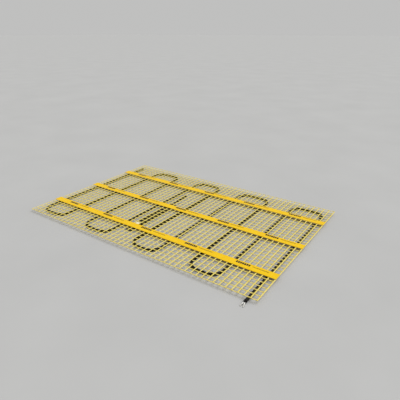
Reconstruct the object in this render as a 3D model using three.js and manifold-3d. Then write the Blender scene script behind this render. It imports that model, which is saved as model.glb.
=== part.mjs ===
import * as THREE from 'three';
import Module from 'manifold-3d';
import { mergeVertices } from 'three/addons/utils/BufferGeometryUtils.js';

const wasm = await Module();
wasm.setup();

// Underfloor heating mat: a glass-fibre net of square cells, three tapes along it,
// one heating cable laid to and fro under it, and a floor sensor between two runs.
// Millimetres. While it is built, x runs along the tapes from the net's left edge,
// y from the net's front edge to its back edge, and z up from the floor.

// Net of square cells: long strands along x, cross strands laid over them along y.
const CELL_PITCH = 15;
const CELL_COUNT_ALONG = 50;
const CELL_COUNT_ACROSS = 33;
const STRAND_WIDTH = 3;
const STRAND_THICKNESS = 0.9;
const NET_PANELS = 5;

// Tapes on top of the net, one on its middle line and one to each side.
const TAPE_COUNT = 3;
const TAPE_PITCH = 153;
const TAPE_WIDTH = 22;
const TAPE_THICKNESS = 0.4;
const TAPE_OVERHANG = 3;

// Heating cable on the floor, under the net. The middle of each run is counted in cells
// from the net's left edge. A turn is two quarter turns with a straight stretch between.
const CABLE_DIAMETER = 7;
const CABLE_SIDES = 8;
const RUN_CELL_COUNTS = [1.15, 7.05, 13.15, 19.2, 25.05, 30.5, 37.05, 42.5, 48.6];
const TURN_INSET = 26;
const TURN_RADIUS = 30;
const QUARTER_STEPS = 4;
const CABLE_END_REACH = 13;

// Two stripped cores at the cable's free end, splayed and bent down to the floor.
const CORE_DIAMETER = 2.4;
const CORE_SPACING = 3.2;
const CORE_LENGTH = 11;
const CORE_SPLAY = 1.6;
const CORE_STEPS = 8;

// Flat sensor pocket under the net, its pale tip and its lead. Its middle line is counted in
// cells like a run, and its front end comes out a little in front of the first tape.
const POCKET_CELL_COUNT = 21.65;
const POCKET_WIDTH = 23.5;
const POCKET_LENGTH = 191;
const POCKET_FRONT_REACH = 7;
const POCKET_EDGE = 1.4;
const POCKET_CORNER = 3;
const TIP_WIDTH = 15;
const TIP_LENGTH = 16;
const TIP_SETBACK = 32;
const LEAD_DIAMETER = 5.5;
const LEAD_SIDES = 8;
const LEAD_LENGTH = 82;
const LEAD_DRIFT = 4;
const LEAD_STEPS = 12;

// Clearance between a piece and what it lies on or against.
const SEAT_GAP = 0.3;

const NET_LENGTH = CELL_COUNT_ALONG * CELL_PITCH + STRAND_WIDTH;
const NET_WIDTH = CELL_COUNT_ACROSS * CELL_PITCH + STRAND_WIDTH;
const NET_BOTTOM = CABLE_DIAMETER + SEAT_GAP;
const NET_MIDDLE = NET_BOTTOM + STRAND_THICKNESS;
const NET_TOP = NET_MIDDLE + STRAND_THICKNESS;
const RUN_COUNT = RUN_CELL_COUNTS.length;
const POCKET_HEIGHT = CABLE_DIAMETER;

// Closed solid from a geometry, for joining.
function solidOf(geometry) {
  geometry.deleteAttribute('normal');
  geometry.deleteAttribute('uv');
  const merged = mergeVertices(geometry);
  return new wasm.Manifold(new wasm.Mesh({
    numProp: 3,
    vertProperties: new Float32Array(merged.attributes.position.array),
    triVerts: new Uint32Array(merged.index.array),
  }));
}

// Geometry from a joined solid.
function geometryOf(solid) {
  const mesh = solid.getMesh();
  const geometry = new THREE.BufferGeometry();
  geometry.setAttribute('position', new THREE.BufferAttribute(mesh.vertProperties, mesh.numProp));
  geometry.setIndex(new THREE.BufferAttribute(mesh.triVerts, 1));
  geometry.computeVertexNormals();
  return geometry;
}

// Box between two opposite corners.
function boxBetween(x0, x1, y0, y1, z0, z1) {
  const box = new THREE.BoxGeometry(x1 - x0, y1 - y0, z1 - z0);
  return box.translate((x0 + x1) / 2, (y0 + y1) / 2, (z0 + z1) / 2);
}

// Regular polygon with a flat side at the top and bottom, for the section of a cord.
function cordSection(diameter, sides) {
  const corner = diameter / 2 / Math.cos(Math.PI / sides);
  const points = [];
  for (let i = 0; i < sides; i += 1) {
    const angle = (2 * i + 1) * Math.PI / sides;
    points.push(new THREE.Vector2(corner * Math.cos(angle), corner * Math.sin(angle)));
  }
  return new THREE.Shape(points);
}

function mesh(name, geometry, colour, roughness, metalness = 0) {
  const material = new THREE.MeshStandardMaterial({ color: colour, roughness, metalness });
  const piece = new THREE.Mesh(geometry, material);
  piece.name = name;
  return piece;
}

// Net. A panel holds a share of the cross strands and the stretch of every long strand
// under them, fused where they cross. Neighbouring panels meet face to face in mid cell.
function strandEdge(index) {
  return index * CELL_PITCH;
}

function panelBorder(strand) {
  if (strand === 0) return 0;
  if (strand > CELL_COUNT_ALONG) return NET_LENGTH;
  return strandEdge(strand) + STRAND_WIDTH / 2 - CELL_PITCH / 2;
}

function netPanel(panel) {
  const strands = CELL_COUNT_ALONG + 1;
  const first = Math.round(panel * strands / NET_PANELS);
  const next = Math.round((panel + 1) * strands / NET_PANELS);
  const left = panelBorder(first);
  const right = panelBorder(next);
  const bars = [];
  for (let row = 0; row <= CELL_COUNT_ACROSS; row += 1) {
    const y = strandEdge(row);
    bars.push(solidOf(boxBetween(left, right, y, y + STRAND_WIDTH, NET_BOTTOM, NET_MIDDLE)));
  }
  for (let strand = first; strand < next; strand += 1) {
    const x = strandEdge(strand);
    bars.push(solidOf(boxBetween(x, x + STRAND_WIDTH, 0, NET_WIDTH, NET_MIDDLE, NET_TOP)));
  }
  const net = geometryOf(wasm.Manifold.union(bars));
  return mesh(`net_panel_${panel + 1}`, net, 0xd9c98a, 0.75);
}

// Tapes. Each runs the whole length of the net and stands out a little at the left end.
function tapeCentre(index) {
  return NET_WIDTH / 2 + (index - (TAPE_COUNT - 1) / 2) * TAPE_PITCH;
}

function tape(index) {
  const low = tapeCentre(index) - TAPE_WIDTH / 2;
  const bottom = NET_TOP + SEAT_GAP;
  const strip = boxBetween(-TAPE_OVERHANG, NET_LENGTH, low, low + TAPE_WIDTH, bottom, bottom + TAPE_THICKNESS);
  return mesh(`tape_${index + 1}`, strip, 0xfcd116, 0.5);
}

// Heating cable. Its route is a list of stations, each a point and a direction, so that
// every straight stretch is one step and every quarter turn has its own even steps.
class CableRoute extends THREE.Curve {
  constructor(stations) {
    super();
    this.stations = stations;
  }

  getUtoTmapping(u) {
    return u;
  }

  getPoint(t, target = new THREE.Vector3()) {
    const place = t * (this.stations.length - 1);
    const index = Math.min(Math.floor(place), this.stations.length - 2);
    const from = this.stations[index].point;
    const to = this.stations[index + 1].point;
    return target.lerpVectors(from, to, place - index);
  }

  getTangent(t, target = new THREE.Vector3()) {
    const index = Math.round(t * (this.stations.length - 1));
    return target.copy(this.stations[index].direction);
  }
}

function runX(run) {
  return RUN_CELL_COUNTS[run - 1] * CELL_PITCH + STRAND_WIDTH / 2;
}

// The last run comes forward to the free end, and the direction alternates before it.
function comesForward(run) {
  return (RUN_COUNT - run) % 2 === 0;
}

// Line on which the runs end and the quarter turns begin, at the front or at the back.
function turnLine(atFront) {
  const reach = TURN_INSET + TURN_RADIUS;
  return atFront ? reach : NET_WIDTH - reach;
}

function cableStations() {
  const height = CABLE_DIAMETER / 2;
  const stations = [];
  const add = (x, y, dx, dy) => {
    stations.push({ point: new THREE.Vector3(x, y, height), direction: new THREE.Vector3(dx, dy, 0) });
  };
  if (comesForward(1)) add(runX(1), NET_WIDTH - TURN_INSET, 0, -1);
  else add(runX(1), TURN_INSET, 0, 1);
  for (let run = 1; run < RUN_COUNT; run += 1) {
    const side = comesForward(run) ? -1 : 1;
    const y = turnLine(comesForward(run));
    for (let step = 0; step <= QUARTER_STEPS; step += 1) {
      const angle = Math.PI / 2 * step / QUARTER_STEPS;
      const across = Math.cos(angle);
      const along = Math.sin(angle);
      add(runX(run) + TURN_RADIUS * (1 - across), y + side * TURN_RADIUS * along, along, side * across);
    }
    for (let step = 0; step <= QUARTER_STEPS; step += 1) {
      const angle = Math.PI / 2 * step / QUARTER_STEPS;
      const across = Math.sin(angle);
      const along = Math.cos(angle);
      add(runX(run + 1) - TURN_RADIUS * (1 - across), y + side * TURN_RADIUS * along, along, -side * across);
    }
  }
  add(runX(RUN_COUNT), -CABLE_END_REACH, 0, -1);
  return stations;
}

function heatingCable() {
  const stations = cableStations();
  const cable = new THREE.ExtrudeGeometry(cordSection(CABLE_DIAMETER, CABLE_SIDES), {
    steps: stations.length - 1,
    extrudePath: new CableRoute(stations),
  });
  return mesh('heating_cable', cable, 0x14110e, 0.55);
}

// Stripped cores. side is -1 for the left core and 1 for the right one.
function coreRoute(side) {
  const start = -CABLE_END_REACH - SEAT_GAP;
  const middle = start - CORE_LENGTH / 2;
  const x = runX(RUN_COUNT) + side * CORE_SPACING / 2;
  const top = CABLE_DIAMETER / 2;
  const low = CORE_DIAMETER / 2;
  return new THREE.CubicBezierCurve3(
    new THREE.Vector3(x, start, top),
    new THREE.Vector3(x, middle, top),
    new THREE.Vector3(x + side * CORE_SPLAY, middle, low),
    new THREE.Vector3(x + side * CORE_SPLAY, start - CORE_LENGTH, low),
  );
}

function core(name, side) {
  const wire = new THREE.ExtrudeGeometry(cordSection(CORE_DIAMETER, LEAD_SIDES), {
    steps: CORE_STEPS,
    extrudePath: coreRoute(side),
  });
  return mesh(name, wire, 0xc9c7c0, 0.4, 0.8);
}

// Floor sensor. The pocket's middle line is at pocketX, and its left
// side has a recess for the tip.
function pocketX() {
  return POCKET_CELL_COUNT * CELL_PITCH + STRAND_WIDTH / 2;
}

function pocketFront() {
  return tapeCentre(0) - TAPE_WIDTH / 2 - POCKET_FRONT_REACH;
}

// Plan outline with rounded corners, pressed to a height with rounded long edges.
function flatBody(corners, radius, height) {
  const outline = new THREE.Shape();
  const count = corners.length;
  corners.forEach((corner, index) => {
    const before = corners[(index + count - 1) % count];
    const after = corners[(index + 1) % count];
    const enter = corner.clone().add(before.clone().sub(corner).setLength(radius));
    const leave = corner.clone().add(after.clone().sub(corner).setLength(radius));
    if (index === 0) outline.moveTo(enter.x, enter.y);
    else outline.lineTo(enter.x, enter.y);
    outline.quadraticCurveTo(corner.x, corner.y, leave.x, leave.y);
  });
  outline.closePath();
  const body = new THREE.ExtrudeGeometry(outline, {
    depth: height - 2 * POCKET_EDGE,
    curveSegments: 3,
    bevelThickness: POCKET_EDGE,
    bevelSize: POCKET_EDGE,
    bevelOffset: -POCKET_EDGE,
    bevelSegments: 2,
  });
  return body.translate(0, 0, POCKET_EDGE);
}

function sensorPocket() {
  const left = pocketX() - POCKET_WIDTH / 2;
  const right = left + POCKET_WIDTH;
  const recess = left + TIP_WIDTH + SEAT_GAP;
  const front = pocketFront();
  const near = front + TIP_SETBACK - SEAT_GAP;
  const far = front + TIP_SETBACK + TIP_LENGTH + SEAT_GAP;
  const back = front + POCKET_LENGTH;
  const corners = [
    new THREE.Vector2(left, front),
    new THREE.Vector2(right, front),
    new THREE.Vector2(right, back),
    new THREE.Vector2(left, back),
    new THREE.Vector2(left, far),
    new THREE.Vector2(recess, far),
    new THREE.Vector2(recess, near),
    new THREE.Vector2(left, near),
  ];
  return mesh('sensor_pocket', flatBody(corners, POCKET_CORNER, POCKET_HEIGHT), 0x171411, 0.6);
}

function sensorTip() {
  const left = pocketX() - POCKET_WIDTH / 2;
  const front = pocketFront() + TIP_SETBACK;
  const corners = [
    new THREE.Vector2(left, front),
    new THREE.Vector2(left + TIP_WIDTH, front),
    new THREE.Vector2(left + TIP_WIDTH, front + TIP_LENGTH),
    new THREE.Vector2(left, front + TIP_LENGTH),
  ];
  return mesh('sensor_tip', flatBody(corners, POCKET_CORNER, POCKET_HEIGHT), 0xe9e2c0, 0.6);
}

function sensorLead() {
  const x = pocketX() - CELL_PITCH / 2;
  const start = pocketFront() + POCKET_LENGTH + SEAT_GAP;
  const end = start + LEAD_LENGTH;
  const middle = (start + end) / 2;
  const height = LEAD_DIAMETER / 2;
  const route = new THREE.CubicBezierCurve3(
    new THREE.Vector3(x, start, height),
    new THREE.Vector3(x, middle, height),
    new THREE.Vector3(x - LEAD_DRIFT, middle, height),
    new THREE.Vector3(x - LEAD_DRIFT, end, height),
  );
  const lead = new THREE.ExtrudeGeometry(cordSection(LEAD_DIAMETER, LEAD_SIDES), {
    steps: LEAD_STEPS,
    extrudePath: route,
  });
  return mesh('sensor_lead', lead, 0x171411, 0.6);
}

// Assembly, with its origin under the middle of the whole object, on the floor.
const mat = new THREE.Group();
for (let panel = 0; panel < NET_PANELS; panel += 1) mat.add(netPanel(panel));
for (let index = 0; index < TAPE_COUNT; index += 1) mat.add(tape(index));
mat.add(heatingCable());
mat.add(core('core_left', -1));
mat.add(core('core_right', 1));
mat.add(sensorPocket());
mat.add(sensorTip());
mat.add(sensorLead());
mat.position.set(
  (TAPE_OVERHANG - NET_LENGTH) / 2,
  (CABLE_END_REACH + SEAT_GAP + CORE_LENGTH - NET_WIDTH) / 2,
  0,
);

export default mat;
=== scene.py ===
import math
import random

import bpy
import numpy as np
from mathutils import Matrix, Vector


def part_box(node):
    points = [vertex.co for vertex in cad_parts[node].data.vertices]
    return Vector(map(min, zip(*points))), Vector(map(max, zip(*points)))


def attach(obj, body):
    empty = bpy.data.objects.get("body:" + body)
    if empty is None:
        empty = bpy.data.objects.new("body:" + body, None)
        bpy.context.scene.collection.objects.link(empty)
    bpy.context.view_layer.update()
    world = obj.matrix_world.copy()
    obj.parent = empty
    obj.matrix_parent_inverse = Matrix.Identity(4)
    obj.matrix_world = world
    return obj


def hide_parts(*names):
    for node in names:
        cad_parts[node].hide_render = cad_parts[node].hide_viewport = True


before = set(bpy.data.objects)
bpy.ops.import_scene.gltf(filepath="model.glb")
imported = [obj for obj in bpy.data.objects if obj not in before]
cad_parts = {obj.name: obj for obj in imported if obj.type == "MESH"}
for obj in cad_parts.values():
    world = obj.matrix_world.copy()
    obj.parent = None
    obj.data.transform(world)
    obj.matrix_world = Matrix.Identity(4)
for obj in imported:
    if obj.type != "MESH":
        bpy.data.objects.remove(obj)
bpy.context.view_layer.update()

# Viewpoint. The mat is seen from above its front right corner, across to its back left.
# The lens is a little wider than a normal one, and the horizon is level.
camera_place = Vector((0.6342, -0.80405, 0.4941))
camera_direction = Vector((-0.52292, 0.75176, -0.40176))
lens = bpy.data.cameras.new("viewpoint")
lens.lens = 34.53
lens.sensor_width = 36
lens.clip_start = 0.01
viewpoint = bpy.data.objects.new("viewpoint", lens)
viewpoint.location = camera_place
viewpoint.rotation_euler = camera_direction.to_track_quat("-Z", "Y").to_euler()
bpy.context.scene.collection.objects.link(viewpoint)
bpy.context.scene.camera = viewpoint

# Heating cable. One black rubber-like cable, 7 mm thick, laid by hand to and fro in nine runs
# on the floor. It lies close under the net, and its free end is cut square.
cable_low, cable_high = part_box("heating_cable")
net_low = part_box("net_panel_1")[0]
net_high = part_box("net_panel_5")[1]
cell = 0.015
strand_width = 0.003
cable_radius = (cable_high.z - cable_low.z) / 2
run_cells = [1.15, 7.05, 13.15, 19.2, 25.05, 30.5, 37.05, 42.5, 48.6]
run_x = [net_low.x + strand_width / 2 + cells * cell for cells in run_cells]
turn_radius = 0.030
turn_inset = net_high.y - (cable_high.y - cable_radius)
turn_back = net_high.y - turn_inset - turn_radius
turn_front = net_low.y + turn_inset + turn_radius
run_step = 0.010
quarter_stations = 14
run_waver = 0.0006
sheath_sides = 16


def piece_from(name, points, faces, smooth=True):
    """A mesh object from points and faces, shaded smooth or flat."""
    data = bpy.data.meshes.new(name)
    data.from_pydata([tuple(p) for p in points], [], [tuple(int(i) for i in f) for f in faces])
    data.polygons.foreach_set("use_smooth", [smooth] * len(data.polygons))
    data.update()
    made = bpy.data.objects.new(name, data)
    bpy.context.scene.collection.objects.link(made)
    return made


def swept(line, section):
    """Points and faces of a closed tube: section, a ring of (sideways, upward) pairs, along line.
    section may also hold one ring for each point of line."""
    line = np.asarray(line, float)
    section = np.asarray(section, float)
    if section.ndim == 2:
        section = np.repeat(section[None], len(line), axis=0)
    ahead = np.gradient(line, axis=0)
    sideways = np.stack([ahead[:, 1], -ahead[:, 0], np.zeros(len(line))], axis=1)
    sideways /= np.linalg.norm(sideways, axis=1)[:, None]
    upward = np.cross(sideways, ahead)
    upward /= np.linalg.norm(upward, axis=1)[:, None]
    rings = line[:, None] + section[..., :1] * sideways[:, None] + section[..., 1:] * upward[:, None]
    sides = section.shape[1]
    faces = []
    for ring in range(len(line) - 1):
        here, there = ring * sides, (ring + 1) * sides
        for side in range(sides):
            after = (side + 1) % sides
            faces.append((here + side, here + after, there + after, there + side))
    last = (len(line) - 1) * sides
    faces.append(tuple(range(sides - 1, -1, -1)))
    faces.append(tuple(range(last, last + sides)))
    return rings.reshape(-1, 3), faces


def round_section(radius, sides):
    """A circle as a ring of (sideways, upward) pairs."""
    turn = [2 * math.pi * (side + 0.5) / sides for side in range(sides)]
    return [(radius * math.cos(a), radius * math.sin(a)) for a in turn]


def cable_line():
    """The cable's centre line, from the back end of the first run to its free end. The inner
    runs waver a little, as a cable laid by hand does."""
    points = []

    def run(x, y_from, y_to, waver):
        steps = round(abs(y_to - y_from) / run_step)
        for step in range(1, steps):
            share = step / steps
            drift = waver * math.sin(math.pi * share) ** 2 * math.sin(7 * share + 40 * x)
            points.append((x + drift, y_from + (y_to - y_from) * share, cable_radius))

    points.append((run_x[0], net_high.y - turn_inset, cable_radius))
    run(run_x[0], net_high.y - turn_inset, turn_front, 0)
    for number in range(len(run_x) - 1):
        x, after = run_x[number], run_x[number + 1]
        forward = number % 2 == 0
        y, side = (turn_front, -1) if forward else (turn_back, 1)
        for station in range(quarter_stations + 1):
            angle = math.pi / 2 * station / quarter_stations
            inward = turn_radius * (1 - math.cos(angle))
            outward = side * turn_radius * math.sin(angle)
            points.append((x + inward, y + outward, cable_radius))
        for station in range(quarter_stations, -1, -1):
            angle = math.pi / 2 * station / quarter_stations
            inward = turn_radius * (1 - math.cos(angle))
            outward = side * turn_radius * math.sin(angle)
            points.append((after - inward, y + outward, cable_radius))
        if number < len(run_x) - 2:
            run(after, y, turn_back if forward else turn_front, run_waver)
    run(run_x[-1], turn_back, cable_low.y, 0)
    points.append((run_x[-1], cable_low.y, cable_radius))
    return points


def procedural(name, dark, light, grain, roughness, bump, metallic=0.0, gloss=0.5):
    """A finish with a cloudy change between two colours, a roughness that follows it and a fine bump.
    grain is the size of its fine texture, in metres, bump the height of it, and gloss the
    strength of its reflections, 0.5 for a plain plastic."""
    cloud_size = grain / 0.12
    roughness_spread = 0.08
    finish = bpy.data.materials.new(name)
    finish.use_nodes = True
    tree = finish.node_tree
    shader = tree.nodes["Principled BSDF"]
    shader.inputs["Metallic"].default_value = metallic
    shader.inputs["Specular IOR Level"].default_value = gloss
    place = tree.nodes.new("ShaderNodeTexCoord")
    clouds = tree.nodes.new("ShaderNodeTexNoise")
    clouds.inputs["Scale"].default_value = 1 / cloud_size
    clouds.inputs["Detail"].default_value = 4
    fine = tree.nodes.new("ShaderNodeTexNoise")
    fine.inputs["Scale"].default_value = 1 / grain
    fine.inputs["Detail"].default_value = 3
    colours = tree.nodes.new("ShaderNodeValToRGB")
    colours.color_ramp.elements[0].position = 0.3
    colours.color_ramp.elements[0].color = (*dark, 1)
    colours.color_ramp.elements[1].position = 0.7
    colours.color_ramp.elements[1].color = (*light, 1)
    shine = tree.nodes.new("ShaderNodeMapRange")
    shine.inputs["To Min"].default_value = roughness - roughness_spread
    shine.inputs["To Max"].default_value = roughness + roughness_spread
    relief = tree.nodes.new("ShaderNodeBump")
    relief.inputs["Distance"].default_value = bump
    relief.inputs["Strength"].default_value = 0.6
    tree.links.new(place.outputs["Object"], clouds.inputs["Vector"])
    tree.links.new(place.outputs["Object"], fine.inputs["Vector"])
    tree.links.new(clouds.outputs["Fac"], colours.inputs["Fac"])
    tree.links.new(colours.outputs["Color"], shader.inputs["Base Color"])
    tree.links.new(fine.outputs["Fac"], shine.inputs["Value"])
    tree.links.new(shine.outputs["Result"], shader.inputs["Roughness"])
    tree.links.new(fine.outputs["Fac"], relief.inputs["Height"])
    tree.links.new(relief.outputs["Normal"], shader.inputs["Normal"])
    return finish


sheath_black = procedural(
    "sheath_black", dark=(0.005, 0.0042, 0.0036), light=(0.011, 0.0095, 0.0082),
    grain=0.0009, roughness=0.45, bump=0.00008, gloss=0.14)
sheath = swept(cable_line(), round_section(cable_radius, sheath_sides))
heating_cable = piece_from("cable_sheath", *sheath)
heating_cable.data.materials.append(sheath_black)
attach(heating_cable, "root")
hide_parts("heating_cable")

# Stripped cores. Two tinned stranded wires come out of the cut end of the cable, each bare
# beyond a short white sleeve of insulation, splayed apart and bent down to the floor.
outer_strands = 6
strand_sides = 7
strand_turns = 1.6
strand_spread = 1.9
sleeve_share = 0.55
sleeve_sides = 12
core_steps = 40
core_end_slack = 0.0002


def core_line(node, side):
    """The centre line of a core from the cable's end, inside the box of its node."""
    low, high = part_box(node)
    radius = high.z - low.z - cable_radius
    near_x = high.x - radius if side < 0 else low.x + radius
    far_x = low.x + radius if side < 0 else high.x - radius
    line = []
    for step in range(core_steps + 1):
        t = step / core_steps
        ease = 3 * (1 - t) * t * t + t ** 3
        along = 3 * (1 - t) ** 2 * t * 0.5 + 3 * (1 - t) * t * t * 0.5 + t ** 3
        x = near_x + (far_x - near_x) * ease
        y = high.y + (low.y + core_end_slack - high.y) * along
        z = (high.z - radius) + (low.z - high.z + 2 * radius) * ease
        line.append((x, y, z))
    return np.array(line), radius


def joined(parts):
    """One set of points and faces from several."""
    points, faces, start = [], [], 0
    for part_points, part_faces in parts:
        points.append(np.asarray(part_points))
        faces.extend(tuple(start + i for i in face) for face in part_faces)
        start += len(part_points)
    return np.concatenate(points), faces


tinned_wire = procedural(
    "tinned_wire", dark=(0.60, 0.58, 0.53), light=(0.84, 0.82, 0.77),
    grain=0.0006, roughness=0.42, bump=0.00003, metallic=0.55)
core_sleeve_white = procedural(
    "core_sleeve_white", dark=(0.82, 0.81, 0.76), light=(0.92, 0.91, 0.87),
    grain=0.0008, roughness=0.45, bump=0.00003)
for name, side in (("core_left", -1), ("core_right", 1)):
    line, radius = core_line(name, side)
    bare = round(sleeve_share * core_steps)
    strand_radius = radius / 3
    ring = round_section(strand_radius, strand_sides)
    wires = [swept(line[bare - 2:], ring)]
    for strand in range(outer_strands):
        wound = []
        for step in range(bare - 2, core_steps + 1):
            angle = 2 * math.pi * (strand / outer_strands + strand_turns * step / core_steps)
            ahead = line[min(step + 1, core_steps)] - line[max(step - 1, 0)]
            sideways = np.array([-ahead[1], ahead[0], 0]) / np.hypot(ahead[0], ahead[1])
            upward = np.array([0, 0, 1.0])
            outward = math.cos(angle) * sideways + math.sin(angle) * upward
            wound.append(line[step] + strand_spread * strand_radius * outward)
        wires.append(swept(wound, ring))
    wire = piece_from(f"{name}_wire", *joined(wires))
    wire.data.materials.append(tinned_wire)
    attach(wire, "root")
    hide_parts(name)
    sleeve_section = round_section(radius, sleeve_sides)
    sleeve = piece_from(f"{name}_sleeve", *swept(line[:bare + 1], sleeve_section))
    sleeve.data.materials.append(core_sleeve_white)
    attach(sleeve, "root")

# Floor sensor. A flat black flexible pocket under the net, ribbed across, with a moulded
# cream tip in its left side and a thin black lead that runs back between two cable runs.
pocket_low, pocket_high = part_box("sensor_pocket")
tip_low, tip_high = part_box("sensor_tip")
lead_low, lead_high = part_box("sensor_lead")
rib_pitch = 0.004
rib_depth = 0.00035
pocket_edge = 0.0012
pocket_clearance = 0.0003
tip_edge = 0.0022
lead_steps = 48
lead_sides = 14


def flat_ring(half_width, half_height, edge, arc_steps=4):
    """A flat oblong with round corners, as a ring of (sideways, upward) pairs."""
    ring = []
    for corner, (across, up) in enumerate(((1, 1), (-1, 1), (-1, -1), (1, -1))):
        for step in range(arc_steps + 1):
            angle = math.pi / 2 * (corner + step / arc_steps)
            ring.append((across * (half_width - edge) + edge * math.cos(angle),
                         up * (half_height - edge) + edge * math.sin(angle)))
    return ring


def flat_tube(x_low, x_high, y_low, y_high, height, edge, ribs):
    """A flat closed body along y, its end faces drawn in, with ribs across it or none."""
    step = rib_pitch / 8 if ribs else (y_high - y_low) / 16
    count = round((y_high - y_low) / step)
    line, rings = [], []
    for station in range(count + 1):
        y = y_low + (y_high - y_low) * station / count
        from_end = min(y - y_low, y_high - y)
        drawn = edge * (1 - math.sqrt(max(0.0, 1 - (1 - min(1, from_end / edge)) ** 2)))
        groove = 0.5 * rib_depth * (1 - math.cos(2 * math.pi * y / rib_pitch)) if ribs else 0
        pull = drawn + groove
        line.append(((x_low + x_high) / 2, y, height / 2))
        rings.append(flat_ring((x_high - x_low) / 2 - pull, height / 2 - pull, edge * 0.8))
    return swept(line, rings)


sensor_black = procedural(
    "sensor_black", dark=(0.007, 0.006, 0.005), light=(0.015, 0.013, 0.011),
    grain=0.0012, roughness=0.5, bump=0.00006, gloss=0.18)
sensor_cream = procedural(
    "sensor_cream", dark=(0.86, 0.82, 0.60), light=(0.95, 0.92, 0.74),
    grain=0.0015, roughness=0.42, bump=0.00004)
height = pocket_high.z - pocket_low.z
recess_near = tip_low.y - pocket_clearance
recess_far = tip_high.y + pocket_clearance
arm_left = tip_high.x + pocket_clearance
arm_near = recess_near - pocket_edge
arm_far = recess_far + pocket_edge
pocket = piece_from("pocket_sleeve", *joined([
    flat_tube(pocket_low.x, pocket_high.x, pocket_low.y, recess_near, height, pocket_edge, ribs=True),
    flat_tube(arm_left, pocket_high.x, arm_near, arm_far, height, pocket_edge, ribs=True),
    flat_tube(pocket_low.x, pocket_high.x, recess_far, pocket_high.y, height, pocket_edge, ribs=True),
]))
pocket.data.materials.append(sensor_black)
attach(pocket, "root")
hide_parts("sensor_pocket")

tip_body = flat_tube(tip_low.x, tip_high.x, tip_low.y, tip_high.y, height, tip_edge, ribs=False)
tip = piece_from("tip_moulding", *tip_body)
tip.data.materials.append(sensor_cream)
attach(tip, "root")
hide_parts("sensor_tip")


def lead_line():
    """The lead's centre line, which drifts to the left between its two straight ends."""
    radius = (lead_high.z - lead_low.z) / 2
    line = []
    for step in range(lead_steps + 1):
        t = step / lead_steps
        drift = 3 * (1 - t) * t * t + t ** 3
        along = 1.5 * (1 - t) ** 2 * t + 1.5 * (1 - t) * t * t + t ** 3
        x = lead_high.x - radius - (lead_high.x - lead_low.x - 2 * radius) * drift
        y = lead_low.y + (lead_high.y - lead_low.y) * along
        line.append((x, y, radius))
    return line, radius


line, radius = lead_line()
lead = piece_from("lead_cord", *swept(line, round_section(radius, lead_sides)))
lead.data.materials.append(sensor_black)
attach(lead, "root")
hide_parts("sensor_lead")

# Net. Coated glass-fibre mesh: long strands of two yarns twisted half a turn in each cell,
# and flat cross strands that pass through the twists, 15 mm apart both ways. It is one
# sheet, made here in the five stretches of its nodes.
cells_along = 50
cells_across = 33
twist_steps = 8
yarn_half_width = 0.00105
yarn_half_height = 0.00030
yarn_offset = 0.00045
yarn_sides = 6
yarn_ring = [(yarn_half_width * c, yarn_half_height * s) for c, s in round_section(1, yarn_sides)]
weft_half_width = 0.00148
weft_edge = 0.00026
weft_ring = flat_ring(weft_half_width, yarn_half_height, weft_edge, 1)
net_middle = (net_low.z + net_high.z) / 2
random.seed(7)
row_drift = [(random.uniform(-1, 1), random.uniform(0, 6)) for _ in range(cells_across + 1)]
column_drift = [(random.uniform(-1, 1), random.uniform(0, 6)) for _ in range(cells_along + 1)]
row_drift[0] = row_drift[-1] = (0, 0)
column_drift[0] = column_drift[-1] = (0, 0)
drift_size = 0.00035
end_slack = 0.0003


def row_y(row, x):
    """Where a long strand lies at x: nearly straight, with a slow drift of its own."""
    size, phase = row_drift[row]
    return net_low.y + strand_width / 2 + row * cell + drift_size * size * math.sin(9 * x + phase)


def column_x(column, y):
    """Where a cross strand lies at y."""
    size, phase = column_drift[column]
    return net_low.x + strand_width / 2 + column * cell + drift_size * size * math.sin(11 * y + phase)


def twisted_pair(row, x_from, x_to):
    """The two yarns of a long strand, one above and one below each cross strand."""
    steps = max(2, round((x_to - x_from) / cell * twist_steps))
    yarns = []
    for yarn in (1, -1):
        line = []
        for step in range(steps + 1):
            x = x_from + (x_to - x_from) * step / steps
            angle = math.pi * (x - net_low.x - strand_width / 2) / cell + math.pi / 2
            y = row_y(row, x) + yarn * yarn_offset * math.cos(angle)
            line.append((x, y, net_middle + yarn * yarn_offset * math.sin(angle)))
        yarns.append(swept(line, yarn_ring))
    return yarns


net_yarn = procedural(
    "net_yarn", dark=(0.80, 0.64, 0.14), light=(0.93, 0.78, 0.21),
    grain=0.0011, roughness=0.6, bump=0.00012, gloss=0.2)
for number in range(1, 6):
    panel_low, panel_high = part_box(f"net_panel_{number}")
    left = max(panel_low.x, net_low.x + end_slack)
    right = min(panel_high.x, net_high.x - end_slack)
    strands = []
    for row in range(cells_across + 1):
        strands.extend(twisted_pair(row, left, right))
    for column in range(cells_along + 1):
        x = net_low.x + strand_width / 2 + column * cell
        if panel_low.x < x < panel_high.x:
            line = []
            for step in range(2 * cells_across + 1):
                share = step / (2 * cells_across)
                y = panel_low.y + end_slack + (panel_high.y - panel_low.y - 2 * end_slack) * share
                line.append((column_x(column, y), y, net_middle))
            strands.append(swept(line, weft_ring))
    weave = piece_from(f"net_weave_{number}", *joined(strands))
    weave.data.materials.append(net_yarn)
    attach(weave, "root")
    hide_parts(f"net_panel_{number}")

# Tapes. Bright yellow adhesive tape pressed on top of the net along its length, so that the
# strands show through as low ridges. Plain black dashes are printed on it at a fixed pitch.
mark_pitch = 0.1478
mark_first = 0.055
bold_length = 0.037
bold_across = (0.0004, 0.0078)
bold_pitch = 0.0053
bold_space = 0.0010
fine_along = (0.043, 0.083)
fine_across = (0.0026, 0.0052)
fine_pitch = 0.0031
fine_space = 0.0011
ink_black = (0.02, 0.017, 0.012, 1)
tape_step = 0.0015
tape_rows = 16
tape_sag = 0.00042
tape_waver = 0.00018
tape_inset = 0.0002
tape_slack = 0.00002


def ridge(distance, reach=0.0032):
    """1 over a strand, falling smoothly to 0 at reach from its middle."""
    near = min(1.0, abs(distance) / reach)
    return 0.5 + 0.5 * math.cos(math.pi * near)


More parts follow.
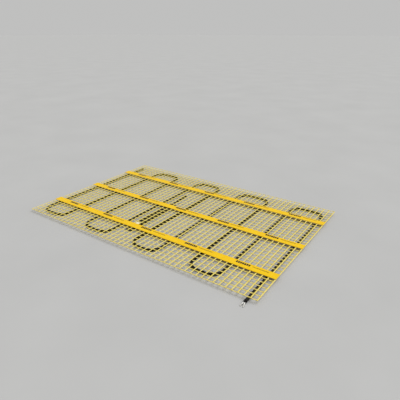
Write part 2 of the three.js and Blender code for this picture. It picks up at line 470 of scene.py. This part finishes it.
def tape_mesh(low, high):
    """A closed strip whose top and underside sag into the net's cells."""
    columns = round((high.x - low.x) / tape_step)
    top, under = [], []
    thickness = high.z - low.z
    for column in range(columns + 1):
        x = low.x + (high.x - low.x) * column / columns
        nearest = round((x - net_low.x - strand_width / 2) / cell)
        nearest = min(max(nearest, 0), cells_along)
        for row in range(tape_rows + 1):
            share = row / tape_rows
            waver = tape_waver * math.sin(31 * x + 5 * low.y) * (2 * share - 1)
            y = low.y + tape_inset + (high.y - low.y - 2 * tape_inset) * share + waver
            strand = round((y - net_low.y - strand_width / 2) / cell)
            over = max(ridge(x - column_x(nearest, y)), ridge(y - row_y(strand, x)))
            z = high.z - tape_slack - tape_sag * (1 - over)
            top.append((x, y, z))
            under.append((x, y, z - thickness + 2 * tape_slack))
    points = top + under
    rows = tape_rows + 1
    count = len(top)
    faces = []
    for column in range(columns):
        for row in range(tape_rows):
            a, b = column * rows + row, (column + 1) * rows + row
            faces.append((a, b, b + 1, a + 1))
            faces.append((count + a, count + a + 1, count + b + 1, count + b))
        for row, flip in ((0, False), (tape_rows, True)):
            a, b = column * rows + row, (column + 1) * rows + row
            wall = (a, count + a, count + b, b)
            faces.append(wall[::-1] if flip else wall)
    for column, flip in ((0, True), (columns, False)):
        for row in range(tape_rows):
            a = column * rows + row
            wall = (a, count + a, count + a + 1, a + 1)
            faces.append(wall[::-1] if flip else wall)
    return points, faces


def tape_finish():
    """Satin yellow with plain printed dashes: a bold row, then a fine one, at each mark."""
    finish = procedural(
        "tape_yellow", dark=(0.92, 0.57, 0.003), light=(0.955, 0.62, 0.005),
        grain=0.0016, roughness=0.38, bump=0.00004, gloss=0.15)
    tree = finish.node_tree
    shader = tree.nodes["Principled BSDF"]
    place = tree.nodes["Texture Coordinate"]
    split = tree.nodes.new("ShaderNodeSeparateXYZ")
    tree.links.new(place.outputs["Object"], split.inputs["Vector"])

    def maths(operation, first, second=None):
        node = tree.nodes.new("ShaderNodeMath")
        node.operation = operation
        for socket, value in zip(node.inputs, (first, second)):
            if value is None:
                continue
            if isinstance(value, (int, float)):
                socket.default_value = value
            else:
                tree.links.new(value, socket)
        return node.outputs["Value"]

    def between(value, low, high):
        return maths("MULTIPLY", maths("GREATER_THAN", value, low), maths("LESS_THAN", value, high))

    def inked(value, pitch, space):
        return maths("GREATER_THAN", maths("FLOORED_MODULO", value, pitch), space)

    shifted = maths("SUBTRACT", split.outputs["X"], net_low.x + mark_first)
    along = maths("FLOORED_MODULO", shifted, mark_pitch)
    first_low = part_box("tape_1")[0]
    middle_low, middle_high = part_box("tape_2")
    middle = (middle_low.y + middle_high.y) / 2
    pitch = middle_low.y - first_low.y
    offset = maths("SUBTRACT", split.outputs["Y"], middle - pitch / 2)
    across = maths("SUBTRACT", maths("FLOORED_MODULO", offset, pitch), pitch / 2)
    bold = maths("MULTIPLY", between(along, 0.0, bold_length), between(across, *bold_across))
    bold = maths("MULTIPLY", bold, inked(along, bold_pitch, bold_space))
    fine = maths("MULTIPLY", between(along, *fine_along), between(across, *fine_across))
    fine = maths("MULTIPLY", fine, inked(along, fine_pitch, fine_space))
    ink = maths("ADD", bold, fine)
    blend = tree.nodes.new("ShaderNodeMix")
    blend.data_type = "RGBA"
    colour = tree.nodes["Color Ramp"].outputs["Color"]
    tree.links.new(ink, blend.inputs["Factor"])
    tree.links.new(colour, blend.inputs["A"])
    blend.inputs["B"].default_value = ink_black
    tree.links.new(blend.outputs["Result"], shader.inputs["Base Color"])
    return finish


tape_yellow = tape_finish()
for number in range(1, 4):
    low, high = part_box(f"tape_{number}")
    strip = piece_from(f"tape_strip_{number}", *tape_mesh(low, high))
    strip.data.materials.append(tape_yellow)
    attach(strip, "root")
    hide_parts(f"tape_{number}")

# Floor and light. A plain pale floor that runs on to the horizon, a broad soft key light from
# high behind on the right and an even sky of nearly the same shade as the lit floor.
reach = 60
floor_depth = 0.0002
floor_corners = [(-reach, -reach, 0), (reach, -reach, 0), (reach, reach, 0), (-reach, reach, 0)]
floor_pale = procedural(
    "floor_pale", dark=(0.505, 0.505, 0.50), light=(0.535, 0.535, 0.53),
    grain=0.03, roughness=0.85, bump=0.00004, gloss=0.2)
floor = piece_from("floor", floor_corners, [(0, 1, 2, 3)], smooth=False)
floor.location.z = -floor_depth
floor.data.materials.append(floor_pale)

key = bpy.data.lights.new("key", "SUN")
key.energy = 1.75
key.angle = 0.9
lamp = bpy.data.objects.new("key", key)
lamp.rotation_euler = Vector((-0.45, -0.35, -1)).to_track_quat("-Z", "Y").to_euler()
bpy.context.scene.collection.objects.link(lamp)
sky = bpy.data.worlds.new("sky")
sky.use_nodes = True
sky.node_tree.nodes["Background"].inputs["Color"].default_value = (1, 1, 0.99, 1)
sky.node_tree.nodes["Background"].inputs["Strength"].default_value = 0.525
bpy.context.scene.world = sky
bpy.context.scene.view_settings.view_transform = "Standard"
